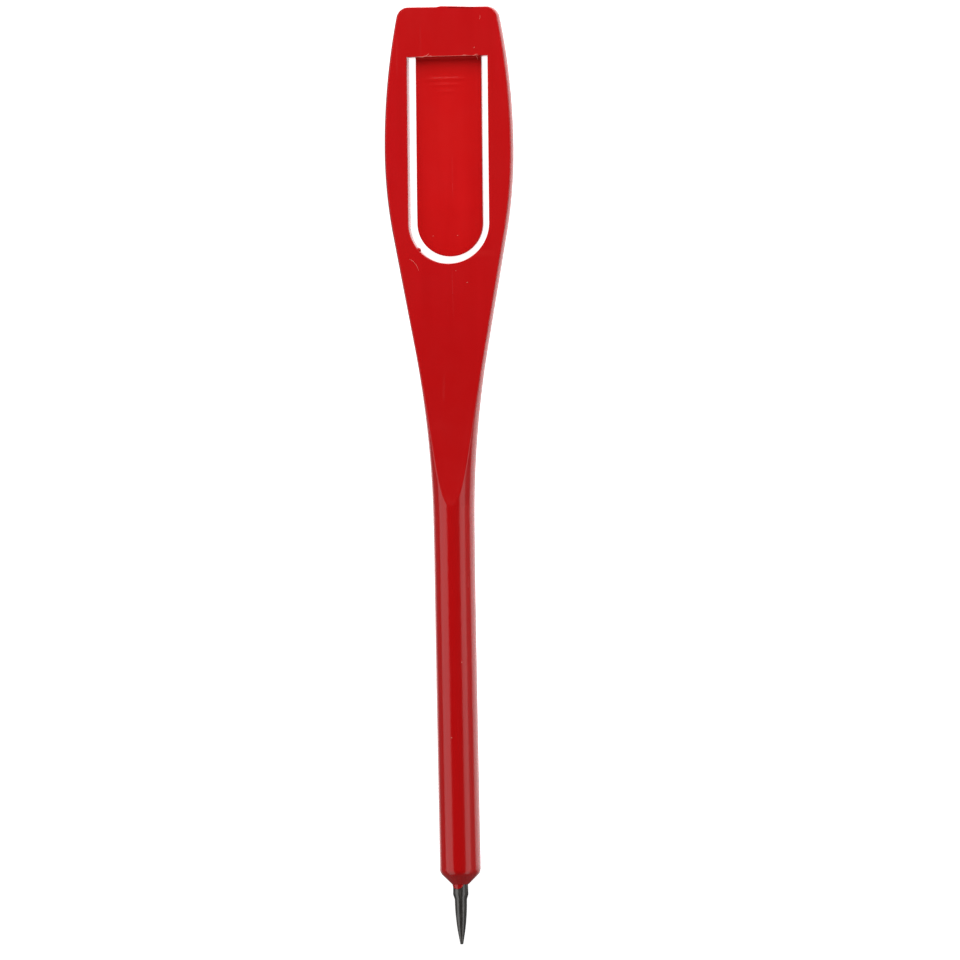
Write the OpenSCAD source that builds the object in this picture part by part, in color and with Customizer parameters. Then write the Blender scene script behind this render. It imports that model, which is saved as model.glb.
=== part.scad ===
// Plastic marking pencil: a round barrel with a pressed-in lead, flaring into a flat head
// that has a springy clip tongue cut out of it.
// It lies on its back: +Y runs from the lead's point to the head, X lies across the head,
// +Z is up through the front of the head. The origin is under the middle of the pencil's
// length, on the surface that the barrel rests on.

/* [Overall] */
// Length from the lead's point to the top of the head
overall_len = 95; // [85:0.5:120]
// Width of the head at its widest place
head_w = 13.15; // [10.5:0.05:16]
// Diameter of the round barrel
barrel_d = 4.15; // [3.4:0.05:5]

/* [Head] */
// Thickness of the flat head
head_t = 1.8; // [1.4:0.05:2.4]
// Distance from the top of the head to its widest place
widest_from_top = 14.5; // [12:0.5:18]
// Radius of each side above the widest place
upper_side_r = 70; // [55:1:100]
// Radius of each side below the widest place
lower_side_r = 48; // [38:1:58]
// Angle between each straight side of the flare and the centre line
flare_angle = 10.2; // [8.5:0.1:12.5]
// Radius of each hollow side where the flare runs into the barrel
throat_r = 105; // [85:1:130]
// Radius of the two top corners
corner_r = 1.3; // [0.5:0.1:2]
// Height of the witness line where the flare stands proud of the barrel
witness = 0.02; // [0.015:0.005:0.05]

/* [Scoop] */
// Distance from the top of the head to the end of its flat faces
flat_from_top = 34; // [30:0.5:41]
// Radius of the scoop between each flat face and the round barrel
scoop_r = 116; // [80:1:140]

/* [Clip] */
// Distance from the top of the head to the root of the clip tongue
band_len = 5.1; // [4:0.1:7]
// Length of the tongue from its root to its round end
tongue_len = 20.2; // [16:0.1:24.5]
// Thickness of the tongue
tongue_t = 0.84; // [0.7:0.02:1.1]
// Length of the thinned lead-in at the tongue's end
leadin_len = 4.8; // [2:0.1:8]
// Thickness of the tongue at its very end
leadin_t = 0.6; // [0.4:0.02:0.7]
// Width of the slot round the tongue
slot_w = 0.76; // [0.5:0.02:1.1]
// Width of the rail on each side of the slot, at the widest place
rail_w = 2.45; // [1.9:0.05:3]
// Clearance between the tongue's rounded root and its seat in the head
seat_gap = 0.03; // [0.02:0.01:0.08]

/* [Nose and lead] */
// Length of lead that shows beyond the nose
lead_out = 6.1; // [5.5:0.1:10]
// Length of the lead's sharpened point, whose side is a shallow arc
point_len = 4.55; // [3:0.05:4.6]
// Length of the slope between the sharpened point and the lead's full diameter
step_len = 0.5; // [0.2:0.05:0.8]
// Diameter of the lead
lead_d = 1.54; // [1.4:0.02:2.2]
// Diameter at the wide end of the sharpened point
point_base_d = 1.23; // [1:0.01:1.3]
// Diameter of the blunted tip
tip_d = 0.27; // [0.1:0.01:0.6]
// Length of lead held inside the barrel
lead_in = 24; // [10:0.5:26]
// Amount by which the lead's radius is larger than its hole
lead_press = 0.01; // [0.005:0.005:0.02]
// Width of the flat ring of plastic round the lead at the nose
nose_land = 0.08; // [0.04:0.01:0.2]
// Angle between the nose's cone and the barrel's axis
nose_angle = 46; // [35:1:60]
// Radius that blends the nose's cone into the barrel
nose_blend_r = 0.9; // [0.3:0.05:1.2]

/* [Hidden] */

barrel_r = barrel_d / 2;
half_w = head_w / 2;
half_t = head_t / 2;
tip_y = -overall_len / 2;
top_y = overall_len / 2;
nose_y = tip_y + lead_out;
widest_y = top_y - widest_from_top;
flat_y = top_y - flat_from_top;

// Each side of the head and flare is five tangent pieces: the corner's arc, an arc above the
// widest place, an arc below it, a straight, and a hollow arc that ends along the barrel.
edge_r = barrel_r + witness;
straight_top_x = half_w - lower_side_r * (1 - cos(flare_angle));
straight_top_y = widest_y - lower_side_r * sin(flare_angle);
straight_end_x = edge_r + throat_r * (1 - cos(flare_angle));
straight_end_y = straight_top_y - (straight_top_x - straight_end_x) / tan(flare_angle);
throat_y = straight_end_y - throat_r * sin(flare_angle);
corner_y = top_y - corner_r;
upper_sweep = asin((corner_y - widest_y) / (upper_side_r - corner_r));
corner_x = half_w - upper_side_r + (upper_side_r - corner_r) * cos(upper_sweep);

// The clip: the tongue lies flush with the back of the head, and its root is a round bar on
// the line about which it flexes.
root_y = top_y - band_len;
tongue_w = head_w - 2 * rail_w - 2 * slot_w;
tongue_end_y = root_y - tongue_len + tongue_w / 2;
tongue_mid_z = tongue_t / 2 - half_t;
window_w = tongue_w + 2 * slot_w;

// The lead's hole ends in a short cone a little past the lead
hole_r = lead_d / 2 - lead_press;
hole_len = lead_in + 0.3;
hole_cone_len = 0.5;

// The nose's cone and its blend, as distances from the end of the nose
nose_face_r = lead_d / 2 + nose_land;
nose_corner = (barrel_r - nose_face_r) / tan(nose_angle);
nose_tangent = nose_blend_r * tan(nose_angle / 2);

// The point's side is an arc that ends parallel to the lead's axis
point_taper = (point_base_d - tip_d) / 2;
point_arc_r = (point_taper * point_taper + point_len * point_len) / (2 * point_taper);

// Length of barrel that runs on inside the flare
sunk_len = 4;
// Height of the barrel's axis: the flare's witness line is the lowest place
axis_z = edge_r;
// Spare length for cutters
spare = 1;
// Facets in a full turn of a small round, and of the scoop's large one
small_fn = 96;
large_fn = 720;
// Steps along each arc of the side
arc_steps = 8;
// Corners round each half of a section: an odd number, so that one stands at the widest place
edge_steps = 17;

// Places along one side of the blade, each as [distance from the centre line, y],
// from the barrel up to the top of the head
function throat_place(angle) = [
    edge_r + throat_r * (1 - cos(angle)),
    throat_y + throat_r * sin(angle)
];
function lower_place(angle) = [
    half_w - lower_side_r * (1 - cos(angle)),
    widest_y - lower_side_r * sin(angle)
];
function upper_place(angle) = [
    half_w - upper_side_r * (1 - cos(angle)),
    widest_y + upper_side_r * sin(angle)
];
function corner_place(angle) = [
    corner_x + corner_r * cos(angle),
    corner_y + corner_r * sin(angle)
];
side_places = concat(
    [for (i = [0 : arc_steps]) throat_place(flare_angle * i / arc_steps)],
    [for (i = [arc_steps : -1 : 0]) lower_place(flare_angle * i / arc_steps)],
    [for (i = [1 : arc_steps]) upper_place(upper_sweep * i / arc_steps)],
    [for (i = [1 : arc_steps]) corner_place(upper_sweep + (90 - upper_sweep) * i / arc_steps)]
);

// One section across the blade: two half circles, about as round as the barrel, drawn apart
function section(place) = [
    for (side = [1, -1])
        for (i = [0 : edge_steps - 1])
            let (angle = 180 * (i + 0.5) / edge_steps - 90)
                [
                    side * (place[0] - edge_r + edge_r * cos(angle)),
                    place[1],
                    side * edge_r * sin(angle)
                ]
];

// The head and flare at the barrel's full thickness, with round sides
module thick_blade() {
    around = 2 * edge_steps;
    last = len(side_places) - 1;
    skin = [
        for (i = [0 : last - 1])
            for (j = [0 : around - 1])
                let (a = i * around + j, b = i * around + (j + 1) % around)
                    each [[a, b, a + around], [b, b + around, a + around]]
    ];
    polyhedron(
        points = [for (place = side_places) each section(place)],
        faces = concat(
            skin,
            [[for (j = [around - 1 : -1 : 0]) j]],
            [[for (j = [0 : around - 1]) last * around + j]]
        )
    );
}

// What is cut from the front, and mirrored from the back, to leave the flat and its scoop
module scoop() {
    rotate([90, 0, 90])
        translate([0, 0, -head_w])
            linear_extrude(height = 2 * head_w) {
                translate([flat_y, half_t])
                    square([flat_from_top + spare, barrel_d]);
                translate([flat_y, half_t + scoop_r])
                    circle(r = scoop_r, $fn = large_fn);
            }
}

// A straight-sided tab with a round end, hanging from the clip's root line
module tab(width) {
    translate([0, tongue_end_y]) circle(r = width / 2, $fn = small_fn);
    translate([-width / 2, tongue_end_y]) square([width, root_y - tongue_end_y]);
}

// The window in the head that the tongue sits in, and the seat for the tongue's round root
module clip_window() {
    translate([0, 0, -half_t - spare])
        linear_extrude(height = head_t + 2 * spare)
            tab(window_w);
    translate([0, root_y, tongue_mid_z])
        rotate([0, 90, 0])
            cylinder(r = tongue_t / 2 + seat_gap, h = tongue_w + 2 * seat_gap, center = true, $fn = small_fn);
}

// The round barrel with its blunt cone of a nose
module barrel() {
    blend_end = nose_corner + nose_tangent;
    barrel_len = throat_y - nose_y + sunk_len;
    translate([0, nose_y, 0])
        rotate([-90, 0, 0])
            rotate_extrude($fn = small_fn) {
                polygon([
                    [0, 0],
                    [nose_face_r, 0],
                    [
                        barrel_r - nose_tangent * sin(nose_angle),
                        nose_corner - nose_tangent * cos(nose_angle)
                    ],
                    [barrel_r, blend_end],
                    [barrel_r, barrel_len],
                    [0, barrel_len]
                ]);
                translate([barrel_r - nose_blend_r, blend_end])
                    circle(r = nose_blend_r, $fn = small_fn);
            }
}

// The blind hole for the lead
module lead_hole() {
    translate([0, nose_y, 0])
        rotate([-90, 0, 0]) {
            translate([0, 0, -spare]) cylinder(r = hole_r, h = hole_len + spare, $fn = small_fn);
            translate([0, 0, hole_len]) cylinder(r1 = hole_r, r2 = 0, h = hole_cone_len, $fn = small_fn);
        }
}

// Plastic moulding: barrel, flare and flat head with the two rails beside the slot
module holder() {
    color("#c31719")
        translate([0, 0, axis_z])
            difference() {
                union() {
                    barrel();
                    thick_blade();
                }
                scoop();
                mirror([0, 0, 1]) scoop();
                clip_window();
                lead_hole();
            }
}

// Springy clip tongue, thinned to a lead-in at its round end
module clip_tongue() {
    color("#c91617")
        translate([0, 0, axis_z])
            intersection() {
                translate([0, 0, -half_t])
                    linear_extrude(height = tongue_t) {
                        tab(tongue_w);
                        translate([-tongue_w / 2, root_y]) square([tongue_w, tongue_t]);
                    }
                translate([-tongue_w / 2, root_y, tongue_mid_z])
                    rotate([90, 0, 90])
                        linear_extrude(height = tongue_w) {
                            circle(r = tongue_t / 2, $fn = small_fn);
                            polygon([
                                [0, -tongue_t / 2],
                                [0, tongue_t / 2],
                                [leadin_len - tongue_len, tongue_t / 2],
                                [-tongue_len, leadin_t - tongue_t / 2],
                                [-tongue_len, -tongue_t / 2]
                            ]);
                        }
            }
}

// Lead with its sharpened point, and the short collar of full diameter above it
module lead() {
    color("#3d3c3e")
        translate([0, tip_y, axis_z])
            rotate([-90, 0, 0])
                rotate_extrude($fn = small_fn) {
                    intersection() {
                        square([lead_d, point_len]);
                        translate([point_base_d / 2 - point_arc_r, point_len])
                            circle(r = point_arc_r, $fn = large_fn);
                    }
                    polygon([
                        [0, point_len],
                        [point_base_d / 2, point_len],
                        [lead_d / 2, point_len + step_len],
                        [lead_d / 2, lead_out + lead_in],
                        [0, lead_out + lead_in]
                    ]);
                }
}

holder();
clip_tongue();
lead();
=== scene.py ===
import math

import bmesh
import bpy
from mathutils import Matrix, Vector
from mathutils.geometry import tessellate_polygon


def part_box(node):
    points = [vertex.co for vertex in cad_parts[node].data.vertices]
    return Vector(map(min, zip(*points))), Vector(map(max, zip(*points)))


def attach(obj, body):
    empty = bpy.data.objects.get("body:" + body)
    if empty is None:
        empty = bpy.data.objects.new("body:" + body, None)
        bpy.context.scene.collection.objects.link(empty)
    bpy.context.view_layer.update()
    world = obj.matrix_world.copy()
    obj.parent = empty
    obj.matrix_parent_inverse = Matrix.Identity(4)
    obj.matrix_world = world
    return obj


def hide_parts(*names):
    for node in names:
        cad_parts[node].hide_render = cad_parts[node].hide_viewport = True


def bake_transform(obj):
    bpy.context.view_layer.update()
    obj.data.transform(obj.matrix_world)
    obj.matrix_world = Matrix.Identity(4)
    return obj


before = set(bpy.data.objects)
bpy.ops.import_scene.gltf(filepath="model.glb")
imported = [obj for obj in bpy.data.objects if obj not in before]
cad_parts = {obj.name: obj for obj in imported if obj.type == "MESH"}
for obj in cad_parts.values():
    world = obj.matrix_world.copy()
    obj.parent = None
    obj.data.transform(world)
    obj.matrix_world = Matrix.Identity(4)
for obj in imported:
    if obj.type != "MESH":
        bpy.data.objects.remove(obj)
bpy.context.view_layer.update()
print("frame loaded:", sorted(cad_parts))

mm = 0.001

# Places that the whole pencil shares, in millimetres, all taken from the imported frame
holderLow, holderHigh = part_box("holder")
tongueLow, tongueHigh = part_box("clip_tongue")
leadLow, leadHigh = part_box("lead")
axisZ = (leadLow.z + leadHigh.z) / 2 / mm
topY = holderHigh.y / mm
noseY = holderLow.y / mm
tipY = leadLow.y / mm
leadEndY = leadHigh.y / mm
halfWidth = holderHigh.x / mm
tongueHalf = tongueHigh.x / mm
tongueEndY = tongueLow.y / mm
backZ = tongueLow.z / mm
tongueTop = tongueHigh.z / mm
leadR = leadHigh.x / mm


def linearColour(hexText, alpha=1.0):
    # sRGB hex to linear RGBA
    channels = [int(hexText[i:i + 2], 16) / 255 for i in (1, 3, 5)]
    linear = [c / 12.92 if c <= 0.04045 else ((c + 0.055) / 1.055) ** 2.4 for c in channels]
    return (*linear, alpha)


def addNode(tree, kind, settings=None, links=None):
    # settings are properties or input values, links are the sockets that feed its inputs
    node = tree.nodes.new(kind)
    for key, value in (settings or {}).items():
        if isinstance(key, str) and hasattr(node, key):
            setattr(node, key, value)
        else:
            node.inputs[key].default_value = value
    for key, source in (links or {}).items():
        tree.links.new(source, node.inputs[key])
    return node


def addMath(tree, operation, first, second):
    # a math node fed by two sockets
    return addNode(tree, "ShaderNodeMath", {"operation": operation}, {0: first, 1: second})


def meshPiece(name, points, faces, material, weld=0.0005):
    # points in millimetres; doubles are merged, the normals are made to point out
    mesh = bpy.data.meshes.new(name)
    mesh.from_pydata([tuple(p) for p in points], [], faces)
    shell = bmesh.new()
    shell.from_mesh(mesh)
    bmesh.ops.remove_doubles(shell, verts=shell.verts, dist=weld)
    bmesh.ops.dissolve_degenerate(shell, edges=shell.edges, dist=weld / 5)
    bmesh.ops.recalc_face_normals(shell, faces=shell.faces)
    bmesh.ops.scale(shell, vec=(mm, mm, mm), verts=shell.verts)
    for face in shell.faces:
        face.smooth = True
    shell.to_mesh(mesh)
    shell.free()
    mesh.materials.append(material)
    piece = bpy.data.objects.new(name, mesh)
    bpy.context.scene.collection.objects.link(piece)
    return piece


def settleMesh(piece):
    # the evaluated mesh replaces the modifiers that made it
    depsgraph = bpy.context.evaluated_depsgraph_get()
    settled = bpy.data.meshes.new_from_object(piece.evaluated_get(depsgraph), depsgraph=depsgraph)
    piece.modifiers.clear()
    old = piece.data
    piece.data = settled
    settled.name = piece.name
    bpy.data.meshes.remove(old)
    return piece


def flattenShading(piece, flatHeights):
    # the large flat faces keep their own normal, so only the narrow roundings carry a gradient
    mesh = piece.data
    normals = [corner.normal.copy() for corner in mesh.vertices]
    for face in mesh.polygons:
        onFlat = any(abs(face.center.z / mm - z) < 0.001 for z in flatHeights)
        if abs(face.normal.z) > 0.9999 and onFlat:
            for i in face.vertices:
                normals[i] = Vector((0, 0, math.copysign(1.0, face.normal.z)))
    mesh.normals_split_custom_set_from_vertices(normals)
    return piece


def smoothStep(low, high, value):
    t = min(1.0, max(0.0, (value - low) / (high - low)))
    return t * t * (3 - 2 * t)


# As it left the mould: the whole pencil is very slightly bowed, its top edge is not quite square,
# and the gate was trimmed to a low step that falls away to the right
moulding = {"bow": 0.17, "topSkew": 0.013, "gateStep": 0.09, "gateFrom": -0.75, "gateTo": 2.9}


def asMoulded(piece):
    for point in piece.data.vertices:
        x, y = point.co.x / mm, point.co.y / mm
        point.co.x -= moulding["bow"] * (1 - (y / topY) ** 2) * mm
        point.co.y -= moulding["topSkew"] * x * smoothStep(topY - 5.5, topY, y) * mm
        if moulding["gateFrom"] - 0.3 < x < moulding["gateTo"]:
            step = smoothStep(moulding["gateFrom"] - 0.3, moulding["gateFrom"], x)
            step *= 1 - smoothStep(moulding["gateFrom"], moulding["gateTo"], x)
            point.co.y += moulding["gateStep"] * step * smoothStep(topY - 0.5, topY - 0.15, y) * mm
    return piece


stageSizes = {
    "tiltDegrees": 8.0,        # the camera stands a little to the pencil's right
    "rollDegrees": 0.86,       # the pencil's head leans this much to the left
    "viewWidth": 97.2,         # width of the view at the pencil, mm
    "lensLength": 220.0,       # mm, a long lens
    "sensorWidth": 36.0,
    "aimX": 2.57,
    "aimY": -0.5,
    "floorHalf": 1.6,          # m
    "floorGlow": 0.95,
    # the sweep's grey is painted shade and the card's glow a painted reflection, both seen in the
    # pencil's reflections
    "reflectedShadeGrey": "#7a7a7a",
    "cardColour": "#fafaf8",
    "cardReflectionGlow": 1.15,
    # where the card's three soft edges start and end, m
    "cardLeft": (-0.0075, -0.0045),
    "cardRight": (0.009, 0.013),
    "cardFoot": (-0.0425, -0.0395),
}


def buildCamera(sizes):
    tilt, roll = math.radians(sizes["tiltDegrees"]), math.radians(sizes["rollDegrees"])
    back = Vector((math.sin(tilt), 0, math.cos(tilt)))
    right = Vector((math.cos(tilt), 0, -math.sin(tilt)))
    up = Vector((0, 1, 0)) * math.cos(roll) + right * math.sin(roll)
    right = up.cross(back)
    distance = sizes["viewWidth"] * mm * sizes["lensLength"] / sizes["sensorWidth"]
    aim = Vector((sizes["aimX"], sizes["aimY"], axisZ)) * mm
    data = bpy.data.cameras.new("viewCamera")
    data.lens = sizes["lensLength"]
    data.sensor_width = sizes["sensorWidth"]
    data.clip_start = 0.01
    camera = bpy.data.objects.new("viewCamera", data)
    turned = Matrix((right, up, back)).transposed()
    camera.matrix_world = Matrix.Translation(aim + back * distance) @ turned.to_4x4()
    bpy.context.scene.collection.objects.link(camera)
    bpy.context.scene.camera = camera


def addEdge(tree, place, span, levels):
    # a ramp between two levels over a span of positions
    return addNode(tree, "ShaderNodeMapRange",
                   {1: span[0], 2: span[1], 3: levels[0], 4: levels[1]}, {0: place})


def buildFloor(sizes):
    material = bpy.data.materials.new("paperSweep")  # grey floor glowing white to the camera; in reflections its grey is painted shade
    material.use_nodes = True
    tree = material.node_tree
    tree.nodes.clear()
    # a sheet of white card lies under the pencil on a grey sweep; the grey, seen only in the
    # pencil's reflections, is painted shade round the pencil
    place = addNode(tree, "ShaderNodeTexCoord").outputs["Object"]
    parts = addNode(tree, "ShaderNodeSeparateXYZ", links={0: place})
    leftEdge = addEdge(tree, parts.outputs[0], sizes["cardLeft"], (0.0, 1.0))
    rightEdge = addEdge(tree, parts.outputs[0], sizes["cardRight"], (1.0, 0.0))
    footEdge = addEdge(tree, parts.outputs[1], sizes["cardFoot"], (0.0, 1.0))
    across = addMath(tree, "MULTIPLY", leftEdge.outputs[0], rightEdge.outputs[0])
    reflectionCardMask = addMath(tree, "MULTIPLY", across.outputs[0], footEdge.outputs[0])
    paper = addNode(tree, "ShaderNodeMix", {
        "data_type": "RGBA", 6: linearColour(sizes["reflectedShadeGrey"]),
        7: linearColour(sizes["cardColour"])},
        {0: reflectionCardMask.outputs[0]})
    # the sweep's glow shows straight on, so the floor looks evenly white; the card's glow also
    # shows in glossy rays, a painted reflection on the pencil, but neither lights the pencil
    seen = addNode(tree, "ShaderNodeLightPath")
    paintedReflection = addMath(tree, "MULTIPLY", seen.outputs["Is Glossy Ray"], reflectionCardMask.outputs[0])
    direct = addNode(tree, "ShaderNodeMath", {"operation": "MULTIPLY_ADD", 1: sizes["cardReflectionGlow"]},
                     {0: paintedReflection.outputs[0], 2: seen.outputs["Is Camera Ray"]})
    glow = addNode(tree, "ShaderNodeMath", {"operation": "MULTIPLY", 1: sizes["floorGlow"]},
                   {0: direct.outputs[0]})
    shader = addNode(tree, "ShaderNodeBsdfPrincipled", {
        "Roughness": 0.9, "Specular IOR Level": 0.1, "Emission Color": linearColour("#ffffff")},
        {"Base Color": paper.outputs[2], "Emission Strength": glow.outputs[0]})
    addNode(tree, "ShaderNodeOutputMaterial", links={"Surface": shader.outputs[0]})
    half = sizes["floorHalf"]
    mesh = bpy.data.meshes.new("paperSweep")
    mesh.from_pydata([(-half, -half, 0), (half, -half, 0), (half, half, 0), (-half, half, 0)], [],
                     [(0, 1, 2, 3)])
    mesh.materials.append(material)
    floor = bpy.data.objects.new("paperSweep", mesh)
    bpy.context.scene.collection.objects.link(floor)


lightPlan = {
    # degrees from straight up towards +X, y in m, distance, width across, length along, radiance
    "leftSoftbox": (-55.0, 0.05, 0.50, 0.44, 1.70, 1.18),
    "rightSoftbox": (56.0, 0.05, 0.50, 0.28, 1.70, 1.18),
}
headLight = {"height": 0.42, "y": 0.46, "size": 0.54, "radiance": 3.75}
roomLight = {
    "colour": "#fbfbff",
    "heightSpan": (0.05, 0.7), "heightLevels": (0.3, 0.04),   # brighter at the horizon
    "sideSpan": (-0.8, 0.6), "sideLevels": (0.25, 1.0),       # dimmer on the left
}


def addSoftbox(name, place, aim, width, length, radiance):
    data = bpy.data.lights.new(name, "AREA")
    data.shape = "RECTANGLE"
    data.size, data.size_y = length, width      # the lamp's own Y is the upright one
    data.energy = radiance * math.pi * width * length
    lamp = bpy.data.objects.new(name, data)
    lamp.location = place
    lamp.rotation_euler = (place - aim).to_track_quat("Z", "Y").to_euler()
    bpy.context.scene.collection.objects.link(lamp)


def buildLights():
    for name, (turn, y, distance, width, length, radiance) in lightPlan.items():
        angle = math.radians(turn)
        place = Vector((math.sin(angle) * distance, y, math.cos(angle) * distance))
        addSoftbox(name, place, Vector((0, y, 0)), width, length, radiance)
    addSoftbox("headSoftbox", Vector((0.0, headLight["y"], headLight["height"])), Vector((0, 0, 0)),
               headLight["size"], headLight["size"], headLight["radiance"])
    world = bpy.data.worlds.new("studioRoom")
    bpy.context.scene.world = world
    world.use_nodes = True
    tree = world.node_tree
    tree.nodes.clear()
    # bright towards the horizon, dim overhead, and dimmer on the left
    place = addNode(tree, "ShaderNodeTexCoord")
    parts = addNode(tree, "ShaderNodeSeparateXYZ", links={0: place.outputs["Generated"]})
    height = addEdge(tree, parts.outputs["Z"], roomLight["heightSpan"], roomLight["heightLevels"])
    side = addEdge(tree, parts.outputs["X"], roomLight["sideSpan"], roomLight["sideLevels"])
    level = addMath(tree, "MULTIPLY", height.outputs[0], side.outputs[0])
    glow = addNode(tree, "ShaderNodeBackground", {"Color": linearColour(roomLight["colour"])},
                   {"Strength": level.outputs[0]})
    addNode(tree, "ShaderNodeOutputWorld", links={"Surface": glow.outputs[0]})


buildCamera(stageSizes)
buildFloor(stageSizes)
buildLights()
bpy.context.scene.view_settings.view_transform = "Standard"
bpy.context.scene.view_settings.look = "None"
print("camera, floor and lights ready")


def startMaterial(name):
    material = bpy.data.materials.new(name)
    material.use_nodes = True
    material.node_tree.nodes.clear()
    return material, material.node_tree


def mouldedRed(name, looks):
    # Injection-moulded ABS straight from a polished mould: glossy, with a slight orange peel,
    # colour drawn out in faint flow lines along the pencil, hairline scuffs and a few dust specks
    material, tree = startMaterial(name)
    place = addNode(tree, "ShaderNodeTexCoord").outputs["Object"]
    # flow lines: 1.6 mm across, 22 mm along
    flowPlace = addNode(tree, "ShaderNodeMapping", {"Scale": (1 / 0.0016, 1 / 0.022, 1 / 0.0016)},
                        {"Vector": place})
    flow = addNode(tree, "ShaderNodeTexNoise", {"Scale": 1.0, "Detail": 3.0, "Roughness": 0.55},
                   {"Vector": flowPlace.outputs[0]})
    # cloudy depth of pigment, 7 mm
    cloud = addNode(tree, "ShaderNodeTexNoise", {"Scale": 1 / 0.007, "Detail": 2.0},
                    {"Vector": place})
    flowStep = addNode(tree, "ShaderNodeMapRange", {1: 0.35, 2: 0.65, 3: 0.0, 4: 1.0},
                       {0: flow.outputs[0]})
    cloudStep = addNode(tree, "ShaderNodeMapRange", {1: 0.35, 2: 0.65, 3: 0.0, 4: 1.0},
                        {0: cloud.outputs[0]})
    flowRed = addNode(tree, "ShaderNodeMix", {
        "data_type": "RGBA", 6: linearColour(looks["deepRed"]), 7: linearColour(looks["mainRed"])},
        {0: flowStep.outputs[0]})
    cloudShare = addNode(tree, "ShaderNodeMath", {"operation": "MULTIPLY", 1: 0.45},
                         {0: cloudStep.outputs[0]})
    cloudRed = addNode(tree, "ShaderNodeMix",
                       {"data_type": "RGBA", 7: linearColour(looks["warmRed"])},
                       {0: cloudShare.outputs[0], 6: flowRed.outputs[2]})
    # painted shade: the barrel and nose get a deeper red than the head, standing in for the light
    # falling off towards the nose
    lengthways = addNode(tree, "ShaderNodeSeparateXYZ", links={0: place})
    radiusAndNoseShade = addNode(tree, "ShaderNodeMapRange", {
        "interpolation_type": "SMOOTHSTEP", 1: 0.026, 2: 0.001, 3: 0.0, 4: 1.0},
        {0: lengthways.outputs[1]})
    noseShadedRed = addNode(tree, "ShaderNodeMix",
                       {"data_type": "RGBA", 7: linearColour(looks["noseShadeRed"])},
                       {0: radiusAndNoseShade.outputs[0], 6: cloudRed.outputs[2]})
    # painted highlight: convex edges get a paler red, standing in for light caught on the roundings
    edge = addNode(tree, "ShaderNodeNewGeometry")
    edgeHighlightMask = addNode(tree, "ShaderNodeMapRange",
                       {1: 0.54, 2: 0.66, 3: 0.0, 4: looks["edgeHighlightShare"]},
                       {0: edge.outputs["Pointiness"]})
    edgeHighlightRed = addNode(tree, "ShaderNodeMix",
                      {"data_type": "RGBA", 7: linearColour(looks["edgeHighlightRed"])},
                      {0: edgeHighlightMask.outputs[0], 6: noseShadedRed.outputs[2]})
    # dust: specks 0.1 to 0.15 mm wide, in about a quarter of cells of 2.2 mm
    cells = addNode(tree, "ShaderNodeTexVoronoi", {"Scale": 1 / 0.0022}, {"Vector": place})
    near = addNode(tree, "ShaderNodeMapRange", {1: 0.022, 2: 0.034, 3: 1.0, 4: 0.0},
                   {0: cells.outputs["Distance"]})
    chosen = addNode(tree, "ShaderNodeSeparateColor", links={0: cells.outputs["Color"]})
    pick = addNode(tree, "ShaderNodeMath", {"operation": "GREATER_THAN", 1: 0.72},
                   {0: chosen.outputs[0]})
    speck = addMath(tree, "MULTIPLY", near.outputs[0], pick.outputs[0])
    speckShare = addNode(tree, "ShaderNodeMath", {"operation": "MULTIPLY", 1: looks["dust"]},
                         {0: speck.outputs[0]})
    dusted = addNode(tree, "ShaderNodeMix", {"data_type": "RGBA", 7: linearColour("#e0a89c")},
                     {0: speckShare.outputs[0], 6: edgeHighlightRed.outputs[2]})
    # scuffs: two sets of lines, the peaks of noise 0.4 and 0.55 mm across and 11 mm along
    scuffs = []
    for turn, width in ((0.5, 0.00042), (-0.85, 0.00055)):
        turned = addNode(tree, "ShaderNodeMapping",
                         {"Rotation": (0.0, 0.0, turn), "Scale": (1 / width, 1 / 0.011, 1 / 0.003)},
                         {"Vector": place})
        lines = addNode(tree, "ShaderNodeTexNoise", {"Scale": 1.0, "Detail": 1.0},
                        {"Vector": turned.outputs[0]})
        scuffs.append(addNode(tree, "ShaderNodeMapRange", {1: 0.70, 2: 0.76, 3: 0.0, 4: 1.0},
                              {0: lines.outputs[0]}))
    scuff = addMath(tree, "MAXIMUM", scuffs[0].outputs[0], scuffs[1].outputs[0])
    # gloss: smears of handling 3 mm wide, and the scuffs
    smear = addNode(tree, "ShaderNodeTexNoise",
                    {"Scale": 1 / 0.003, "Detail": 4.0, "Roughness": 0.6},
                    {"Vector": place})
    smearStep = addNode(tree, "ShaderNodeMapRange",
                        {1: 0.3, 2: 0.7, 3: looks["gloss"], 4: looks["gloss"] + 0.06},
                        {0: smear.outputs[0]})
    roughness = addNode(tree, "ShaderNodeMath", {"operation": "MULTIPLY_ADD", 1: 0.08},
                        {0: scuff.outputs[0], 2: smearStep.outputs[0]})
    # orange peel 0.55 mm across and at most peelDepth deep
    peel = addNode(tree, "ShaderNodeTexNoise", {"Scale": 1 / 0.00055, "Detail": 2.0},
                   {"Vector": place})
    relief = addNode(tree, "ShaderNodeMath", {"operation": "MULTIPLY_ADD", 1: -0.5},
                     {0: scuff.outputs[0], 2: peel.outputs[0]})
    raised = addNode(tree, "ShaderNodeMath", {"operation": "MULTIPLY_ADD", 1: 2.5},
                     {0: speck.outputs[0], 2: relief.outputs[0]})
    bump = addNode(tree, "ShaderNodeBump", {"Strength": 0.5, "Distance": looks["peelDepth"]},
                   {"Height": raised.outputs[0]})
    shader = addNode(tree, "ShaderNodeBsdfPrincipled", {"IOR": 1.52},
                     {"Base Color": dusted.outputs[2], "Roughness": roughness.outputs[0],
                      "Normal": bump.outputs[0]})
    addNode(tree, "ShaderNodeOutputMaterial", links={"Surface": shader.outputs[0]})
    return material


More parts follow.
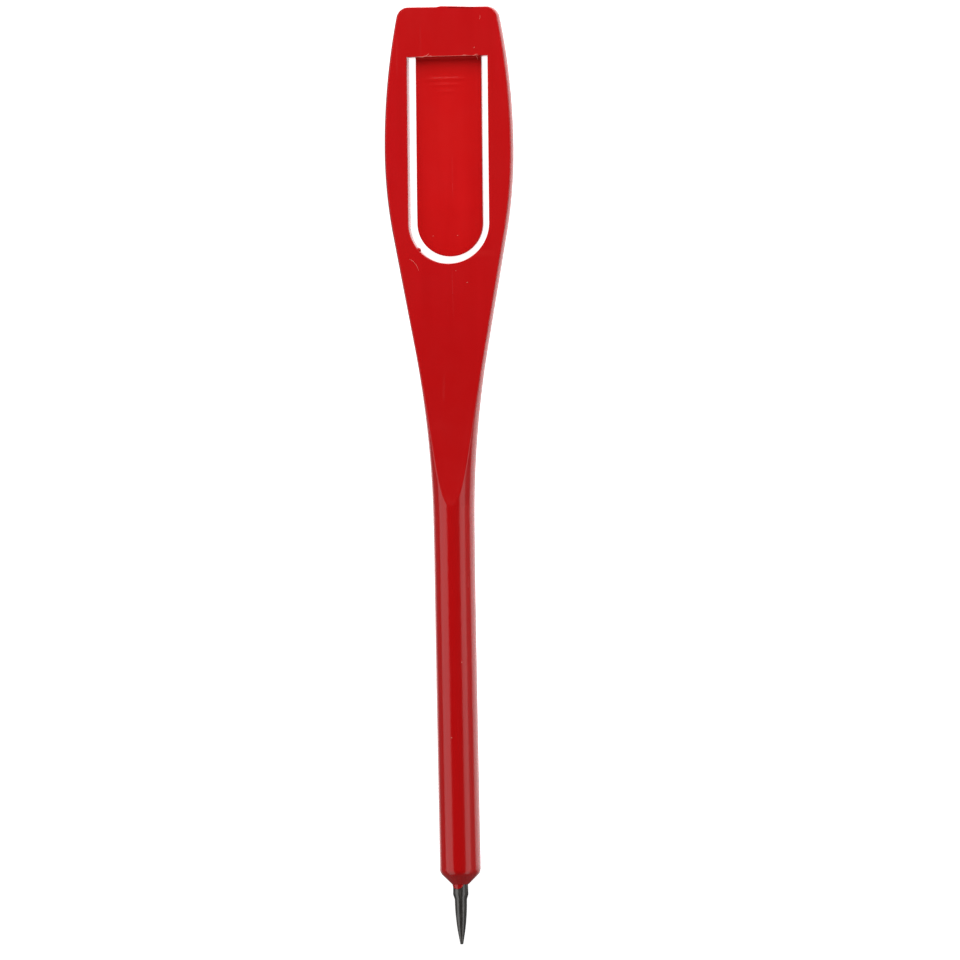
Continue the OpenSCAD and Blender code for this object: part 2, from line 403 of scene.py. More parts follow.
def firedGraphite(name, looks):
    # Extruded and fired graphite and clay, ground to a point: dark grey with a dull metallic sheen,
    # with grinding marks round the point and pale streaks along the core
    material, tree = startMaterial(name)
    place = addNode(tree, "ShaderNodeTexCoord").outputs["Object"]
    # streaks along the core, 0.22 mm across and 1.6 mm long
    streakPlace = addNode(tree, "ShaderNodeMapping",
                          {"Scale": (1 / 0.00022, 1 / 0.0016, 1 / 0.00022)},
                          {"Vector": place})
    streak = addNode(tree, "ShaderNodeTexNoise", {"Scale": 1.0, "Detail": 3.0},
                     {"Vector": streakPlace.outputs[0]})
    # grain of the fired clay, 0.12 mm
    grain = addNode(tree, "ShaderNodeTexNoise",
                    {"Scale": 1 / 0.00012, "Detail": 3.0, "Roughness": 0.7},
                    {"Vector": place})
    # faint grinding marks round the point, about 0.7 mm apart
    ring = addNode(tree, "ShaderNodeTexWave", {
        "bands_direction": "Y", "Scale": 1 / 0.0022, "Distortion": 3.0, "Detail": 2.0,
        "Detail Scale": 1.4},
        {"Vector": place})
    streakStep = addNode(tree, "ShaderNodeMapRange", {1: 0.42, 2: 0.72, 3: 0.0, 4: 1.0},
                         {0: streak.outputs[0]})
    body = addNode(tree, "ShaderNodeMix", {
        "data_type": "RGBA", 6: linearColour(looks["darkGrey"]),
        7: linearColour(looks["paleGrey"])},
        {0: streakStep.outputs[0]})
    grainStep = addNode(tree, "ShaderNodeMapRange", {1: 0.35, 2: 0.7, 3: 0.0, 4: 0.5},
                        {0: grain.outputs[0]})
    grained = addNode(tree, "ShaderNodeMix",
                      {"data_type": "RGBA", 7: linearColour(looks["claySpeck"])},
                      {0: grainStep.outputs[0], 6: body.outputs[2]})
    roughness = addNode(tree, "ShaderNodeMapRange",
                        {1: 0.3, 2: 0.7, 3: looks["sheenLow"], 4: looks["sheenHigh"]},
                        {0: grain.outputs[0]})
    relief = addNode(tree, "ShaderNodeMath", {"operation": "MULTIPLY_ADD", 1: 0.55},
                     {0: ring.outputs["Fac"], 2: grain.outputs[0]})
    bump = addNode(tree, "ShaderNodeBump", {"Strength": 0.6, "Distance": 0.000007},
                   {"Height": relief.outputs[0]})
    shader = addNode(tree, "ShaderNodeBsdfPrincipled", {"Metallic": 0.15, "IOR": 1.9},
                     {"Base Color": grained.outputs[2], "Roughness": roughness.outputs[0],
                      "Normal": bump.outputs[0]})
    addNode(tree, "ShaderNodeOutputMaterial", links={"Surface": shader.outputs[0]})
    return material


holderLooks = {
    "mainRed": "#c41115", "deepRed": "#bf0f12", "warmRed": "#c21413", "noseShadeRed": "#b60b0d",
    "edgeHighlightRed": "#c92825", "edgeHighlightShare": 0.3, "dust": 0.4, "gloss": 0.15, "peelDepth": 0.000012,
}
# painted light: the tongue is the same plastic as the holder, and this lighter copy of its red
# stands in for the light the tongue catches
tongueLitLooks = {
    "mainRed": "#d01416", "deepRed": "#ca1012", "warmRed": "#ce1714", "noseShadeRed": "#ca0e0e",
    "edgeHighlightRed": "#cf2c28", "edgeHighlightShare": 0.3, "dust": 0.3, "gloss": 0.15, "peelDepth": 0.000012,
}
leadLooks = {
    "darkGrey": "#2c2a28", "paleGrey": "#54514c", "claySpeck": "#393633", "sheenLow": 0.14,
    "sheenHigh": 0.24,
}
holderRed = mouldedRed("injectionMouldedAbsRed", holderLooks)
tongueLitRed = mouldedRed("injectionMouldedAbsRedTongueLit", tongueLitLooks)
graphite = firedGraphite("firedGraphiteLead", leadLooks)
print("materials ready")


holderSizes = {
    "barrelR": 2.075, "edgeR": 2.095,
    "headHalf": 0.9,                 # half the head's thickness
    "widestFromTop": 14.5, "upperSideR": 70.0, "lowerSideR": 48.0,
    "flareAngle": 10.2, "throatR": 105.0, "cornerR": 1.3,
    "flatFromTop": 34.0, "scoopR": 116.0,
    "edgeRound": 0.13,               # rounding where the head's faces meet its sides
    "apexRound": 0.32,               # rounding of the scoop's edges where they meet on the barrel
    "topBulge": 0.55,                # how much of the sides' bulge the top edge has
    "windowHalf": 4.125, "bandLength": 5.1, "slotRound": 0.07,
    "noseCone": 0.918, "noseConeR": 1.80, "noseBlendR": 0.9, "noseBlendEnd": 1.565,
    "noseFaceR": 0.85,
    "boreR": 0.775, "boreDepth": 24.3,
}


def halfWidthAt(y, sizes):
    # half the width of the flare and lower head at height y
    flare = math.radians(sizes["flareAngle"])
    widestY = topY - sizes["widestFromTop"]
    straightTopX = halfWidth - sizes["lowerSideR"] * (1 - math.cos(flare))
    straightTopY = widestY - sizes["lowerSideR"] * math.sin(flare)
    straightEndX = sizes["edgeR"] + sizes["throatR"] * (1 - math.cos(flare))
    straightEndY = straightTopY - (straightTopX - straightEndX) / math.tan(flare)
    throatY = straightEndY - sizes["throatR"] * math.sin(flare)
    if y <= throatY:
        barrelShare = smoothStep(throatY - 3, throatY, y)
        return sizes["barrelR"] + (sizes["edgeR"] - sizes["barrelR"]) * barrelShare
    if y <= straightEndY:
        hollow = 1 - math.sqrt(1 - ((y - throatY) / sizes["throatR"]) ** 2)
        return sizes["edgeR"] + sizes["throatR"] * hollow
    if y <= straightTopY:
        return straightEndX + (y - straightEndY) * math.tan(flare)
    drawnIn = 1 - math.sqrt(1 - ((widestY - y) / sizes["lowerSideR"]) ** 2)
    return halfWidth - sizes["lowerSideR"] * drawnIn


def halfHeightAt(y, sizes):
    # half the thickness between the two scoops at height y
    below = topY - sizes["flatFromTop"] - y
    if below <= 0:
        return sizes["headHalf"]
    return sizes["headHalf"] + sizes["scoopR"] - math.sqrt(sizes["scoopR"] ** 2 - below ** 2)


def halfSection(width, endR, height, rounding, flatSteps=6, roundSteps=5, arcSteps=22):
    # right half of one section as (x, z), from the front's middle round to the back's middle
    centre = max(0.0, width - endR)
    height = min(height, endR)
    rounding = min(rounding, height * 0.9)
    reach = math.sqrt(max(0.0, (endR - rounding) ** 2 - (height - rounding) ** 2))
    flatX = centre + reach
    turn = math.atan2(height - rounding, reach) if reach > 1e-6 else math.pi / 2
    # the flat's last point stands close to the rounding, so that the shading
    # turns only beside it
    flatEnd = flatX - min(0.16, flatX * 0.1)
    front = [(flatEnd * i / flatSteps, height) for i in range(flatSteps + 1)]
    for i in range(roundSteps):
        angle = math.pi / 2 + (turn - math.pi / 2) * i / roundSteps
        front.append((flatX + rounding * math.cos(angle),
                      height - rounding + rounding * math.sin(angle)))
    side = [(centre + endR * math.cos(turn * (1 - 2 * i / arcSteps)),
             endR * math.sin(turn * (1 - 2 * i / arcSteps)))
            for i in range(arcSteps + 1)]
    return front + side + [(x, -z) for x, z in reversed(front)]


def headOutline(sizes, steps=34, topSteps=18):
    # right side of the head as (x, y, turn of its outward direction),
    # from the flat's corner to the top's middle
    flatY = topY - sizes["flatFromTop"]
    widestY = topY - sizes["widestFromTop"]
    cornerY = topY - sizes["cornerR"]
    upperSweep = math.asin((cornerY - widestY) / (sizes["upperSideR"] - sizes["cornerR"]))
    cornerReach = (sizes["upperSideR"] - sizes["cornerR"]) * math.cos(upperSweep)
    cornerX = halfWidth - sizes["upperSideR"] + cornerReach
    outline = []
    for i in range(steps + 1):
        y = flatY + (widestY - flatY) * i / steps
        outline.append((halfWidthAt(y, sizes), y, 0.0))
    for i in range(1, 21):
        angle = upperSweep * i / 20
        outline.append((halfWidth - sizes["upperSideR"] * (1 - math.cos(angle)),
                        widestY + sizes["upperSideR"] * math.sin(angle), angle))
    for i in range(1, 15):
        angle = upperSweep + (math.pi / 2 - upperSweep) * i / 14
        outline.append((cornerX + sizes["cornerR"] * math.cos(angle),
                        cornerY + sizes["cornerR"] * math.sin(angle), angle))
    outline += [(cornerX * (1 - i / topSteps), topY, math.pi / 2) for i in range(1, topSteps)]
    return outline, upperSweep


def ringAt(y, section):
    # a full ring of points round the pencil
    right = [(x, y, axisZ + z) for x, z in section]
    left = [(-x, y, axisZ + z) for x, z in reversed(section[1:-1])]
    return right + left


def buildHolder(sizes):
    points, faces = [], []

    def addRow(row):
        points.extend(row)
        return list(range(len(points) - len(row), len(points)))

    def joinRows(a, b, closed=True):
        count = len(a)
        for i in range(count if closed else count - 1):
            j = (i + 1) % count
            faces.append((a[i], a[j], b[j], b[i]))

    # bore for the lead, nose, barrel and flare as rings, from inside the bore outwards
    def roundRing(r, y):
        return addRow(ringAt(y, halfSection(r, r, r, 0.1)))

    apex = [(0, noseY + sizes["boreDepth"] + 0.5, axisZ)] * len(ringAt(0,
        halfSection(1, 1, 1, 0.1)))
    rows = [addRow(apex), roundRing(sizes["boreR"], noseY + sizes["boreDepth"]),
            roundRing(sizes["boreR"], noseY + 0.4), roundRing(sizes["boreR"], noseY + 0.03),
            roundRing(sizes["boreR"] + 0.02, noseY + 0.004),
            roundRing(sizes["noseFaceR"] - 0.02, noseY),
            roundRing(sizes["noseFaceR"] + 0.01, noseY + 0.008)]
    rows += [roundRing(sizes["noseFaceR"] + (sizes["noseConeR"] - sizes["noseFaceR"]) * share,
                       noseY + sizes["noseCone"] * share) for share in (0.06, 0.3, 0.6, 0.85, 1.0)]
    blendCentre = (sizes["barrelR"] - sizes["noseBlendR"], noseY + sizes["noseBlendEnd"])
    blendStart = math.acos((sizes["noseConeR"] - blendCentre[0]) / sizes["noseBlendR"])
    for i in range(1, 11):
        angle = blendStart * (1 - i / 10)
        rows.append(roundRing(blendCentre[0] + sizes["noseBlendR"] * math.cos(angle),
                              blendCentre[1] - sizes["noseBlendR"] * math.sin(angle)))
    y = noseY + sizes["noseBlendEnd"] + 0.4
    while y < -10:
        rows.append(roundRing(sizes["barrelR"], y))
        y += 2.0
    flatY = topY - sizes["flatFromTop"]
    y = -9.0
    stations = []
    while y < flatY - 0.01:
        stations.append(y)
        y += 0.5 if y < -4.5 else 0.15 if y < 0 else 0.3
    stations.append(flatY)
    for y in stations:
        width = halfWidthAt(y, sizes)
        endR = min(width, sizes["edgeR"])
        rounding = sizes["apexRound"] + (sizes["edgeRound"] - sizes["apexRound"]) * smoothStep(-4,
            flatY, y)
        rows.append(addRow(ringAt(y, halfSection(width, endR, halfHeightAt(y, sizes), rounding))))
    for a, b in zip(rows, rows[1:]):
        joinRows(a, b)

    # head: one edge strip swept along the outline, from the flat's corner to the top's middle
    profile = halfSection(sizes["edgeR"], sizes["edgeR"], sizes["headHalf"],
        sizes["edgeRound"])[6:-6]
    profile = [(sizes["edgeR"] - x, z) for x, z in profile]
    outline, upperSweep = headOutline(sizes)
    strips = []
    for side in (1, -1):
        strip = []
        for x, y, turn in outline:
            bulge = 1 - (1 - sizes["topBulge"]) * smoothStep(upperSweep, math.pi / 2, turn)
            row = []
            for inset, z in profile:
                row.append((side * (x - inset * bulge * math.cos(turn)),
                            y - inset * bulge * math.sin(turn), axisZ + z))
            strip.append(addRow(row))
        strips.append(strip)
    middle = addRow([(0, topY - inset * sizes["topBulge"], axisZ + z) for inset, z in profile])
    for strip in strips:
        strip.append(middle)
        for a, b in zip(strip, strip[1:]):
            joinRows(a, b, closed=False)

    # window round the tongue: its outline as (x, y, outward direction)
    rootY = topY - sizes["bandLength"]
    windowHalf = sizes["windowHalf"]
    roundY = tongueEndY + tongueHalf
    window = [(-windowHalf, rootY, (-1, 1))]
    window += [(-windowHalf, roundY + (rootY - roundY) * (1 - i / 12), (-1, 0)) for i in range(1,
        12)]
    for i in range(49):
        angle = math.pi + math.pi * i / 48
        window.append((windowHalf * math.cos(angle), roundY + windowHalf * math.sin(angle),
                       (math.cos(angle), math.sin(angle))))
    window += [(windowHalf, roundY + (rootY - roundY) * i / 12, (1, 0)) for i in range(1, 12)]
    window.append((windowHalf, rootY, (1, 1)))
    window += [(windowHalf * (1 - 2 * i / 10), rootY, (0, 1)) for i in range(1, 10)]
    lip = sizes["slotRound"]
    wall = [(lip * (1 - math.sin(math.pi / 2 * i / 4)),
             sizes["headHalf"] - lip * (1 - math.cos(math.pi / 2 * i / 4)))
            for i in range(5)]
    wall = [(lip + 0.14, wall[0][1])] + wall
    wall = wall + [(0.0, 0.0)] + [(out, -z) for out, z in reversed(wall)]
    wallRows = []
    for out, z in wall:
        wallRows.append(addRow([(x + out * d[0], y + out * d[1], axisZ + z) for x, y, d in window]))
    for a, b in zip(wallRows, wallRows[1:]):
        joinRows(a, b)

    # flat front and back: the outline less the window, filled with triangles
    flatRing = rows[-1]
    sectionCount = len(halfSection(1, 1, 1, 0.1))
    for strip, back in ((0, False), (-1, True)):
        loop = [row[strip] for row in strips[0]] + [row[strip] for row in reversed(strips[1][:-1])]
        if back:
            bottom = [flatRing[sectionCount - 1 + i] for i in range(6, -7, -1)]
        else:
            bottom = [flatRing[i] for i in range(-6, 7)]
        # the bottom row runs from the left corner to the right one, which the strips already hold
        low = sorted(bottom[1:-1], key=lambda i: points[i][0])
        outer = loop + low
        inner = wallRows[-1 if back else 0]
        order = outer + list(inner)
        triangles = tessellate_polygon([[Vector(points[i]) for i in outer],
            [Vector(points[i]) for i in inner]])
        faces.extend(tuple(order[i] for i in triangle) for triangle in triangles)

    piece = asMoulded(meshPiece("holderMoulding", points, faces, holderRed))
    return flattenShading(piece, (axisZ + sizes["headHalf"], axisZ - sizes["headHalf"]))


holderPiece = buildHolder(holderSizes)
print("holder:", len(holderPiece.data.vertices), "points")


tongueSizes = {
    "thinFrom": 27.0,           # y where the front starts to slope down to the tip
    "tipThickness": 0.6,
    "edgeRound": 0.09,
    "sunk": 0.9,                # length hidden inside the band
    "rootFillet": 0.25,
    "ripples": [(40.2, -0.25, 3.9, 0.030), (39.6, -0.2, 2.9, 0.026),
                (38.9, -0.25, 1.6, 0.020)],  # y, x, width, height
    "rippleWide": 0.17,
}


def tongueFront(x, y, sizes, rootY):
    # height of the tongue's front face
    z = tongueTop
    if y < sizes["thinFrom"]:
        thinShare = (sizes["thinFrom"] - y) / (sizes["thinFrom"] - tongueEndY)
        z -= thinShare * (tongueTop - backZ - sizes["tipThickness"])
    for rippleY, rippleX, width, height in sizes["ripples"]:
        along = math.exp(-((y - rippleY + 0.018 * (x - rippleX) ** 2) / sizes["rippleWide"]) ** 2)
        across = 1 - smoothStep(width / 2 - 0.45, width / 2 + 0.15, abs(x - rippleX))
        z += height * along * across
    fillet = sizes["rootFillet"]
    if y > rootY - fillet and y <= rootY:
        z += fillet - math.sqrt(max(0.0, fillet ** 2 - (y - rootY + fillet) ** 2))
    elif y > rootY:
        z += fillet * 0.8
    return z


def buildTongue(sizes):
    rootY = topY - holderSizes["bandLength"]
    roundY = tongueEndY + tongueHalf
    lip = sizes["edgeRound"]
    # section from the middle of the front, round the edge, to the middle of the back:
    # (distance from the middle line, drop below the front, share of the way to the back)
    section = [(tongueHalf * share, 0.0, 0.0) for share in (0, .12, .24, .36, .48, .6, .72, .82,
        .9)]
    section += [(tongueHalf - lip + lip * math.sin(math.pi / 2 * i / 4),
                 lip * (1 - math.cos(math.pi / 2 * i / 4)), 0.0)
                for i in range(5)]
    section += [(tongueHalf, 0.0, 0.5)]
    section += [(tongueHalf - lip + lip * math.cos(math.pi / 2 * i / 4),
                 -lip * (1 - math.sin(math.pi / 2 * i / 4)), 1.0)
                for i in range(5)]
    section += [(tongueHalf * share, 0.0, 1.0) for share in (.7, .35, 0)]
    heights = [rootY + sizes["sunk"], rootY + 0.3, rootY + 0.02]
    heights += [rootY - sizes["rootFillet"] * i / 6 for i in range(7)]
    y = rootY - sizes["rootFillet"] - 0.2
    while y > roundY + 0.1:
        heights.append(y)
        y -= 0.075 if 38.2 < y < 41.0 else 0.3
    stations = [((0, y), (-1, 0)) for y in heights]
    stations += [((0, roundY),
                  (math.cos(math.pi + math.pi * i / 40), math.sin(math.pi + math.pi * i / 40)))
                 for i in range(41)]
    stations += [((0, y), (1, 0)) for y in reversed(heights)]
    points, faces, rows = [], [], []
    for (cx, cy), (dx, dy) in stations:
        row = []
        for out, drop, share in section:
            x, y = cx + dx * out, cy + dy * out
            back = backZ + 0.004 + (0.06 if y > rootY + 0.1 else 0.0)
            front = tongueFront(x, y, sizes, rootY)
            middle = (front + back) / 2
            z = front - drop if share == 0.0 else middle if share == 0.5 else back - drop
            row.append((x, y, z))
        rows.append(list(range(len(points), len(points) + len(row))))
        points.extend(row)
    for a, b in zip(rows, rows[1:]):
        for i in range(len(section) - 1):
            faces.append((a[i], a[i + 1], b[i + 1], b[i]))
    # the sunk end is closed by one strip between its two halves
    first, last = rows[0], rows[-1]
    faces.append(tuple(first) + tuple(reversed(last[1:-1])))
    piece = asMoulded(meshPiece("clipTongueMoulding", points, faces, tongueLitRed))
    return flattenShading(piece, (backZ + 0.004,))


tonguePiece = buildTongue(tongueSizes)
print("tongue:", len(tonguePiece.data.vertices), "points")


leadSizes = {
    "pointLength": 4.55, "pointBaseR": 0.615, "tipR": 0.135, "stepLength": 0.5,
    "facets": 0.012,           # depth of the uneven grinding round the point
    "facetSize": 0.9,
    "around": 72, "along": 260,
}


def buildLead(sizes):
    # a sheet of points is rolled round the axis; its radius follows the distance from the tip
    tree = bpy.data.node_groups.new("leadTurning", "GeometryNodeTree")
    inputs = {}
    for name, value in (("Length", leadEndY - tipY), ("Radius", leadR),
                        ("Point Length", sizes["pointLength"]),
                        ("Point Base Radius", sizes["pointBaseR"]), ("Tip Radius", sizes["tipR"]),
                        ("Step Length", sizes["stepLength"]), ("Grinding Depth", sizes["facets"]),
                        ("Grinding Size", sizes["facetSize"])):
        socket = tree.interface.new_socket(name=name, in_out="INPUT", socket_type="NodeSocketFloat")
        inputs[socket.identifier] = value * mm
    tree.interface.new_socket(name="Geometry", in_out="OUTPUT", socket_type="NodeSocketGeometry")
    source = addNode(tree, "NodeGroupInput").outputs
    grid = addNode(tree, "GeometryNodeMeshGrid", {
        "Size X": 1.0, "Size Y": 1.0, "Vertices X": sizes["around"] + 1,
        "Vertices Y": sizes["along"]})
    place = addNode(tree, "GeometryNodeInputPosition")
    parts = addNode(tree, "ShaderNodeSeparateXYZ", links={0: place.outputs[0]})
    turn = addNode(tree, "ShaderNodeMath", {"operation": "MULTIPLY", 1: 2 * math.pi},
                   {0: parts.outputs[0]})
    share = addNode(tree, "ShaderNodeMath", {"operation": "ADD", 1: 0.5}, {0: parts.outputs[1]})
    # rows crowd towards the tip
    crowded = addNode(tree, "ShaderNodeMath", {"operation": "POWER", 1: 2.2}, {0: share.outputs[0]})
    along = addMath(tree, "MULTIPLY", crowded.outputs[0], source["Length"])
    # shallow arc of the point: base - (base - tip) * (1 - t)^2
    t = addNode(tree, "ShaderNodeMath", {"operation": "DIVIDE", "use_clamp": True},
                {0: along.outputs[0], 1: source["Point Length"]})
    rest = addNode(tree, "ShaderNodeMath", {"operation": "SUBTRACT", 0: 1.0}, {1: t.outputs[0]})
    curve = addMath(tree, "MULTIPLY", rest.outputs[0], rest.outputs[0])
    taper = addMath(tree, "SUBTRACT", source["Point Base Radius"], source["Tip Radius"])
    fall = addMath(tree, "MULTIPLY", curve.outputs[0], taper.outputs[0])
    pointR = addMath(tree, "SUBTRACT", source["Point Base Radius"], fall.outputs[0])
    # slope up to the full radius
    past = addMath(tree, "SUBTRACT", along.outputs[0], source["Point Length"])
    slope = addNode(tree, "ShaderNodeMath", {"operation": "DIVIDE", "use_clamp": True},
                    {0: past.outputs[0], 1: source["Step Length"]})
    stepUp = addMath(tree, "SUBTRACT", source["Radius"], source["Point Base Radius"])
    rise = addMath(tree, "MULTIPLY", slope.outputs[0], stepUp.outputs[0])
    fullR = addMath(tree, "ADD", pointR.outputs[0], rise.outputs[0])
    # uneven grinding, which fades out at the collar
    sine = addNode(tree, "ShaderNodeMath", {"operation": "SINE"}, {0: turn.outputs[0]})
    cosine = addNode(tree, "ShaderNodeMath", {"operation": "COSINE"}, {0: turn.outputs[0]})
    lengthways = addNode(tree, "ShaderNodeMath", {"operation": "MULTIPLY", 1: 700.0},
                         {0: along.outputs[0]})
    seedPlace = addNode(tree, "ShaderNodeCombineXYZ", links={
        0: sine.outputs[0], 1: cosine.outputs[0], 2: lengthways.outputs[0]})
    uneven = addNode(tree, "ShaderNodeTexNoise", {"Scale": 1.7, "Detail": 2.0},
                     {"Vector": seedPlace.outputs[0]})
    centred = addNode(tree, "ShaderNodeMath", {"operation": "SUBTRACT", 1: 0.5},
                      {0: uneven.outputs[0]})
    fade = addNode(tree, "ShaderNodeMath", {"operation": "SUBTRACT", 0: 1.0}, {1: slope.outputs[0]})
    ground = addMath(tree, "MULTIPLY", centred.outputs[0], fade.outputs[0])
    depth = addNode(tree, "ShaderNodeMath", {"operation": "MULTIPLY", 1: 2.0},
                    {0: source["Grinding Depth"]})
    cut = addMath(tree, "MULTIPLY", ground.outputs[0], depth.outputs[0])
    finalR = addMath(tree, "ADD", fullR.outputs[0], cut.outputs[0])
    # both ends close on the axis
    isTip = addNode(tree, "ShaderNodeMath", {"operation": "COMPARE", 1: 0.0, 2: 1e-6},
                    {0: share.outputs[0]})
    isEnd = addNode(tree, "ShaderNodeMath", {"operation": "COMPARE", 1: 1.0, 2: 1e-6},
                    {0: share.outputs[0]})
    isClosed = addMath(tree, "MAXIMUM", isTip.outputs[0], isEnd.outputs[0])
    isOpen = addNode(tree, "ShaderNodeMath", {"operation": "SUBTRACT", 0: 1.0},
                     {1: isClosed.outputs[0]})
    shownR = addMath(tree, "MULTIPLY", finalR.outputs[0], isOpen.outputs[0])
    x = addMath(tree, "MULTIPLY", shownR.outputs[0], sine.outputs[0])
    z = addMath(tree, "MULTIPLY", shownR.outputs[0], cosine.outputs[0])
    y = addNode(tree, "ShaderNodeMath", {"operation": "ADD", 1: tipY * mm}, {0: along.outputs[0]})
    lift = addNode(tree, "ShaderNodeMath", {"operation": "ADD", 1: axisZ * mm}, {0: z.outputs[0]})
    rolled = addNode(tree, "ShaderNodeCombineXYZ",
                     links={0: x.outputs[0], 1: y.outputs[0], 2: lift.outputs[0]})
    moved = addNode(tree, "GeometryNodeSetPosition",
                    links={"Geometry": grid.outputs[0], "Position": rolled.outputs[0]})
    welded = addNode(tree, "GeometryNodeMergeByDistance", {"Distance": 1e-7},
                     {"Geometry": moved.outputs[0]})
    smooth = addNode(tree, "GeometryNodeSetShadeSmooth", links={"Geometry": welded.outputs[0]})
    real = addNode(tree, "GeometryNodeRealizeInstances", links={"Geometry": smooth.outputs[0]})
    finished = addNode(tree, "GeometryNodeSetMaterial", {"Material": graphite},
                       {"Geometry": real.outputs[0]})
    addNode(tree, "NodeGroupOutput", links={0: finished.outputs[0]})

    piece = bpy.data.objects.new("leadCore", bpy.data.meshes.new("leadCoreStart"))
    bpy.context.scene.collection.objects.link(piece)
    turning = piece.modifiers.new("leadTurning", "NODES")
    turning.node_group = tree
    for identifier, value in inputs.items():
        turning[identifier] = value
    settleMesh(piece)
    shell = bmesh.new()
    shell.from_mesh(piece.data)
    bmesh.ops.recalc_face_normals(shell, faces=shell.faces)
    shell.to_mesh(piece.data)
    shell.free()
    return asMoulded(piece)


leadPiece = buildLead(leadSizes)
print("lead:", len(leadPiece.data.vertices), "points")


markSizes = {
    "sides": 8,
    "partingRidge": 0.02,        # radius of the ridge where the mould's halves met
    "ejectorR": 1.1, "ejectorRidge": 0.03,
    "ejectorPlaces": [45.0, 17.4, 3.0],
}


def sweepMarks(name, paths, material, sides):
    # each path is a list of (x, y, z, radius) in mm; one that ends where it starts is closed
    points, edges, radii = [], [], []
    for path in paths:
        closed = path[0] == path[-1]
        row = path[:-1] if closed else path
        first = len(points)
        points += [tuple(c * mm for c in p[:3]) for p in row]
        radii += [p[3] * mm for p in row]
        edges += [(first + i, first + i + 1) for i in range(len(row) - 1)]
        if closed:
            edges.append((len(points) - 1, first))
    mesh = bpy.data.meshes.new(name + "Paths")
    mesh.from_pydata(points, edges, [])
    mesh.attributes.new("radiusAndNoseShade", "FLOAT", "POINT").data.foreach_set("value", radii)
    piece = bpy.data.objects.new(name, mesh)
    bpy.context.scene.collection.objects.link(piece)
    tree = bpy.data.node_groups.new(name + "Sweep", "GeometryNodeTree")
    tree.interface.new_socket(name="Geometry", in_out="INPUT", socket_type="NodeSocketGeometry")
    sidesInput = tree.interface.new_socket(name="Sides", in_out="INPUT",
        socket_type="NodeSocketInt").identifier
    tree.interface.new_socket(name="Geometry", in_out="OUTPUT", socket_type="NodeSocketGeometry")
    source = addNode(tree, "NodeGroupInput").outputs
    lines = addNode(tree, "GeometryNodeMeshToCurve", links={"Mesh": source["Geometry"]})
    radiusAndNoseShade = addNode(tree, "GeometryNodeInputNamedAttribute",
                    {"data_type": "FLOAT", "Name": "radiusAndNoseShade"})
    circle = addNode(tree, "GeometryNodeCurvePrimitiveCircle", {"Radius": 1.0},
                     {"Resolution": source["Sides"]})
    swept = addNode(tree, "GeometryNodeCurveToMesh", {"Fill Caps": True},
                    {"Curve": lines.outputs[0], "Profile Curve": circle.outputs[0],
                     "Scale": radiusAndNoseShade.outputs[0]})
    smooth = addNode(tree, "GeometryNodeSetShadeSmooth", links={"Geometry": swept.outputs[0]})
    real = addNode(tree, "GeometryNodeRealizeInstances", links={"Geometry": smooth.outputs[0]})
    finished = addNode(tree, "GeometryNodeSetMaterial", {"Material": material},
                       {"Geometry": real.outputs[0]})
    addNode(tree, "NodeGroupOutput", links={0: finished.outputs[0]})
    sweep = piece.modifiers.new("sweep", "NODES")
    sweep.node_group = tree
    sweep[sidesInput] = sides
    return asMoulded(settleMesh(piece))


def partingPaths(sizes, ridge):
    # both sides of the pencil at the height of its axis, from the nose to the top
    right = []
    y = noseY + sizes["noseBlendEnd"]
    while y < topY - sizes["flatFromTop"] - 0.5:
        right.append((halfWidthAt(y, sizes) - 0.004, y))
        y += 0.8
    right += [(x - 0.004 * math.cos(turn), y - 0.004 * math.sin(turn)) for x, y,
              turn in headOutline(sizes)[0][::2]]
    left = [(-x, y) for x, y in reversed(right)]
    return [[(x, y, axisZ, ridge) for x, y in right + left]]


def ejectorPaths(sizes, marks):
    paths = []
    for centreY in marks["ejectorPlaces"]:
        ring = []
        for i in range(40):
            angle = 2 * math.pi * i / 40
            x = marks["ejectorR"] * math.cos(angle)
            y = centreY + marks["ejectorR"] * math.sin(angle)
            ring.append((x, y, axisZ - halfHeightAt(y, sizes) + marks["ejectorRidge"] * 0.55,
                marks["ejectorRidge"]))
        paths.append(ring + ring[:1])
    return paths


faceZ = axisZ + holderSizes["headHalf"]
rootY = topY - holderSizes["bandLength"]
barrelTop = axisZ + math.sqrt(holderSizes["barrelR"] ** 2 - 0.85 ** 2)
